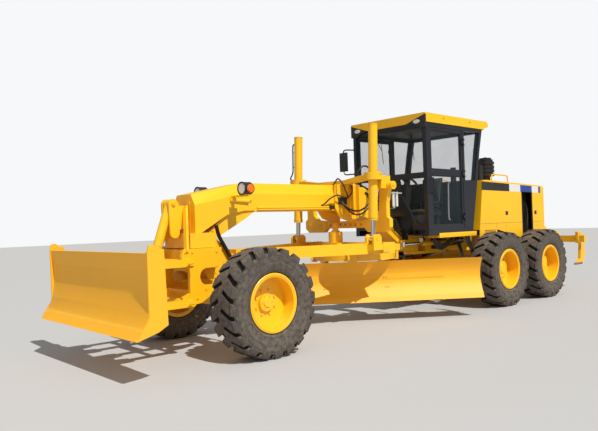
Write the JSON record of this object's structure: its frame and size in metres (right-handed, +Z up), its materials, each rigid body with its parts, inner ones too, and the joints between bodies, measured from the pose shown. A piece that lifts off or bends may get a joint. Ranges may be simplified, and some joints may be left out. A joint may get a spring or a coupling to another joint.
{
  "type": "motor grader",
  "caption": "Articulated motor grader with a circle mounted moldboard, front dozer blade, rear ripper and glazed cab.",
  "frame": {"origin": "middle of the bounding box on the ground", "axes": "+X toward the nose and the dozer blade, +Y toward the machine's left, +Z up"},
  "size_m": [10.855, 2.7814, 3.325],
  "materials": {
    "cast_dark": "oily dark casting",
    "chrome": "polished rod",
    "glass": "clear lightly tinted",
    "hose": "hydraulic hose",
    "paint_black": "semi gloss black paint",
    "paint_charcoal": "satin charcoal cab paint",
    "paint_yellow": "satin machine paint, dusty and scuffed",
    "plastic": "moulded trim",
    "seat_cloth": "seat cover",
    "steel": "worn bare steel",
    "tyre": "dusty rubber tread"
  },
  "bodies": {
    "rear": {"rear_frame": "paint_yellow", "tandems": "paint_yellow", "hood": "paint_yellow", "engine": "cast_dark", "rear_grille": "paint_black", "intake_stack": "paint_black", "cab_floor": "paint_charcoal", "cab_frame": "paint_charcoal", "cab_roof": "paint_yellow", "cab_glass": "glass", "seat": "seat_cloth", "console": "plastic", "mirrors": "plastic", "work_lamps": "plastic", "steps": "paint_black"},
    "front": {"front_frame": "paint_yellow", "saddle": "paint_yellow", "headlamps": "plastic", "hoses": "hose", "front_axle": "paint_yellow", "dozer_mount": "paint_yellow"},
    "door_left": {"door_left": "paint_charcoal", "door_left_glass": "glass"},
    "door_right": {"door_right": "paint_charcoal", "door_right_glass": "glass"},
    "swing_barrel_left": {"swing_barrel_left": "paint_black"},
    "swing_rod_left": {"swing_rod_left": "chrome"},
    "swing_barrel_right": {"swing_barrel_right": "paint_black"},
    "swing_rod_right": {"swing_rod_right": "chrome"},
    "knuckle_left": {"knuckle_left": "paint_yellow"},
    "wheel_front_left": {"rim_front_left": "paint_yellow", "tyre_front_left": "tyre"},
    "knuckle_right": {"knuckle_right": "paint_yellow"},
    "wheel_front_right": {"rim_front_right": "paint_yellow", "tyre_front_right": "tyre"},
    "tie_rod": {"tie_rod": "steel"},
    "wheel_mid_left": {"rim_mid_left": "paint_yellow", "tyre_mid_left": "tyre"},
    "wheel_mid_right": {"rim_mid_right": "paint_yellow", "tyre_mid_right": "tyre"},
    "wheel_rear_left": {"rim_rear_left": "paint_yellow", "tyre_rear_left": "tyre"},
    "wheel_rear_right": {"rim_rear_right": "paint_yellow", "tyre_rear_right": "tyre"},
    "drawbar": {"drawbar": "paint_yellow"},
    "circle": {"circle": "paint_yellow"},
    "moldboard": {"moldboard": "paint_yellow", "side_rod": "chrome"},
    "lift_barrels": {"lift_barrels": "paint_yellow"},
    "lift_rods": {"lift_rods": "chrome"},
    "dozer_upper": {"dozer_upper": "paint_yellow"},
    "dozer_lower": {"dozer_lower": "paint_yellow"},
    "dozer_blade": {"dozer_blade": "paint_yellow"},
    "dozer_barrel": {"dozer_barrel": "paint_black"},
    "dozer_rod": {"dozer_rod": "chrome"},
    "ripper_lower": {"ripper_lower": "paint_yellow"},
    "ripper_upper": {"ripper_upper": "paint_yellow"},
    "ripper": {"ripper": "paint_yellow"},
    "ripper_barrels": {"ripper_barrels": "paint_black"},
    "ripper_rods": {"ripper_rods": "chrome"}
  },
  "joints": [
    {"name": "door_left_hinge", "type": "hinge", "parent": "rear", "child": "door_left", "pos_m": [-1.1125, 0.70727, 2.25], "axis": [0, 0, 1], "range_deg": [0, 100]},
    {"name": "door_right_hinge", "type": "hinge", "parent": "rear", "child": "door_right", "pos_m": [-1.1125, -0.91873, 2.25], "axis": [0, 0, -1], "range_deg": [0, 100]},
    {"name": "frame_hitch", "type": "hinge", "parent": "rear", "child": "front", "pos_m": [-0.6175, -0.10573, 1.135], "axis": [0, 0, -1], "range_deg": [-20, 20]},
    {"name": "swing_barrel_left_pin", "type": "hinge", "parent": "rear", "child": "swing_barrel_left", "pos_m": [-1.3175, 0.31427, 1.16], "axis": [0, 0, -1], "range_deg": [-7.4, 7.4]},
    {"name": "swing_rod_left_slide", "type": "slide", "parent": "swing_barrel_left", "child": "swing_rod_left", "axis": [0.9833, -0.1818, 0], "range_m": [-0.1, 0.1]},
    {"name": "swing_barrel_right_pin", "type": "hinge", "parent": "rear", "child": "swing_barrel_right", "pos_m": [-1.3175, -0.52573, 1.16], "axis": [0, 0, -1], "range_deg": [-7.4, 7.4]},
    {"name": "swing_rod_right_slide", "type": "slide", "parent": "swing_barrel_right", "child": "swing_rod_right", "axis": [0.9833, 0.1818, 0], "range_m": [-0.1, 0.1]},
    {"name": "king_pin_left", "type": "hinge", "parent": "front", "child": "knuckle_left", "pos_m": [3.6325, 0.77427, 0.655], "axis": [0, 0, 1], "range_deg": [-45, 45]},
    {"name": "wheel_front_left_spin", "type": "hinge", "parent": "knuckle_left", "child": "wheel_front_left", "pos_m": [3.6325, 0.94827, 0.655], "axis": [0, 1, 0], "continuous": true},
    {"name": "king_pin_right", "type": "hinge", "parent": "front", "child": "knuckle_right", "pos_m": [3.6325, -0.98573, 0.655], "axis": [0, 0, 1], "range_deg": [-45, 45]},
    {"name": "wheel_front_right_spin", "type": "hinge", "parent": "knuckle_right", "child": "wheel_front_right", "pos_m": [3.6325, -1.15973, 0.655], "axis": [0, 1, 0], "continuous": true},
    {"name": "tie_rod_pin", "type": "hinge", "parent": "knuckle_left", "child": "tie_rod", "pos_m": [3.4325, 0.77427, 0.655], "axis": [0, 0, 1], "range_deg": [-45, 45]},
    {"name": "wheel_mid_left_spin", "type": "hinge", "parent": "rear", "child": "wheel_mid_left", "pos_m": [-1.7945, 0.94827, 0.655], "axis": [0, 1, 0], "continuous": true},
    {"name": "wheel_mid_right_spin", "type": "hinge", "parent": "rear", "child": "wheel_mid_right", "pos_m": [-1.7945, -1.15973, 0.655], "axis": [0, 1, 0], "continuous": true},
    {"name": "wheel_rear_left_spin", "type": "hinge", "parent": "rear", "child": "wheel_rear_left", "pos_m": [-3.3445, 0.94827, 0.655], "axis": [0, 1, 0], "continuous": true},
    {"name": "wheel_rear_right_spin", "type": "hinge", "parent": "rear", "child": "wheel_rear_right", "pos_m": [-3.3445, -1.15973, 0.655], "axis": [0, 1, 0], "continuous": true},
    {"name": "drawbar_lift", "type": "hinge", "parent": "front", "child": "drawbar", "pos_m": [3.9925, -0.10573, 1.15], "axis": [0, 1, 0], "range_deg": [-17, 2.5]},
    {"name": "circle_turn", "type": "hinge", "parent": "drawbar", "child": "circle", "pos_m": [0.8825, -0.10573, 1], "axis": [0, 0, 1], "continuous": true},
    {"name": "side_shift", "type": "slide", "parent": "circle", "child": "moldboard", "axis": [-0.8028, 0.5962, 0], "range_m": [-0.679, 0.321]},
    {"name": "lift_trunnion", "type": "hinge", "parent": "front", "child": "lift_barrels", "pos_m": [1.3125, -0.10573, 2.24], "axis": [0, 1, 0], "range_deg": [-0.6, 0.2]},
    {"name": "lift_rod_slide", "type": "slide", "parent": "lift_barrels", "child": "lift_rods", "axis": [0.0434, 0, -0.9991], "range_m": [-0.12, 0.81]},
    {"name": "dozer_lift", "type": "hinge", "parent": "front", "child": "dozer_upper", "pos_m": [4.2825, -0.10573, 1.15], "axis": [0, -1, 0], "range_deg": [-55, 12]},
    {"name": "dozer_blade_pin", "type": "hinge", "parent": "dozer_upper", "child": "dozer_blade", "pos_m": [4.8825, -0.10573, 1.15], "axis": [0, -1, 0], "range_deg": [-12, 55]},
    {"name": "dozer_lower_pin", "type": "hinge", "parent": "front", "child": "dozer_lower", "pos_m": [4.2825, -0.10573, 0.67], "axis": [0, -1, 0], "range_deg": [-55, 12]},
    {"name": "dozer_barrel_pin", "type": "hinge", "parent": "front", "child": "dozer_barrel", "pos_m": [4.2625, -0.10573, 1.87], "axis": [0, -1, 0], "range_deg": [-8.8, 2]},
    {"name": "dozer_rod_slide", "type": "slide", "parent": "dozer_barrel", "child": "dozer_rod", "axis": [0.3321, 0, -0.9432], "range_m": [-0.04, 0.18]},
    {"name": "ripper_lift", "type": "hinge", "parent": "rear", "child": "ripper_lower", "pos_m": [-4.2475, -0.10573, 0.66], "axis": [0, -1, 0], "range_deg": [0, 60]},
    {"name": "ripper_upper_pin", "type": "hinge", "parent": "rear", "child": "ripper_upper", "pos_m": [-4.2475, -0.10573, 1.02], "axis": [0, -1, 0], "range_deg": [0, 60]},
    {"name": "ripper_frame_pin", "type": "hinge", "parent": "ripper_lower", "child": "ripper", "pos_m": [-4.80941, -0.10573, 0.92202], "axis": [0, -1, 0], "range_deg": [-60, 0]},
    {"name": "ripper_barrel_pin", "type": "hinge", "parent": "rear", "child": "ripper_barrels", "pos_m": [-4.3175, -0.10573, 1.42], "axis": [0, -1, 0], "range_deg": [0, 17.3]},
    {"name": "ripper_rod_slide", "type": "slide", "parent": "ripper_barrels", "child": "ripper_rods", "axis": [-0.6097, 0, -0.7926], "range_m": [0, 0.48]}
  ],
  "couplings": [
    {"joint": "swing_barrel_left_pin", "follows": "frame_hitch", "ratio": 0.3668},
    {"joint": "swing_rod_left_slide", "follows": "frame_hitch", "m_per_rad": 0.2847},
    {"joint": "swing_barrel_right_pin", "follows": "frame_hitch", "ratio": 0.3668},
    {"joint": "swing_rod_right_slide", "follows": "frame_hitch", "m_per_rad": -0.2847},
    {"joint": "king_pin_right", "follows": "king_pin_left", "ratio": 1},
    {"joint": "tie_rod_pin", "follows": "king_pin_left", "ratio": -1},
    {"joint": "lift_trunnion", "follows": "drawbar_lift", "ratio": 0.0258},
    {"joint": "lift_rod_slide", "follows": "drawbar_lift", "m_per_rad": -2.6387},
    {"joint": "dozer_blade_pin", "follows": "dozer_lift", "ratio": -1},
    {"joint": "dozer_lower_pin", "follows": "dozer_lift", "ratio": 1},
    {"joint": "dozer_barrel_pin", "follows": "dozer_lift", "ratio": 0.1585},
    {"joint": "dozer_rod_slide", "follows": "dozer_lift", "m_per_rad": -0.1848},
    {"joint": "ripper_upper_pin", "follows": "ripper_lift", "ratio": 1},
    {"joint": "ripper_frame_pin", "follows": "ripper_lift", "ratio": -1},
    {"joint": "ripper_barrel_pin", "follows": "ripper_lift", "ratio": 0.2854},
    {"joint": "ripper_rod_slide", "follows": "ripper_lift", "m_per_rad": 0.4532}
  ]
}
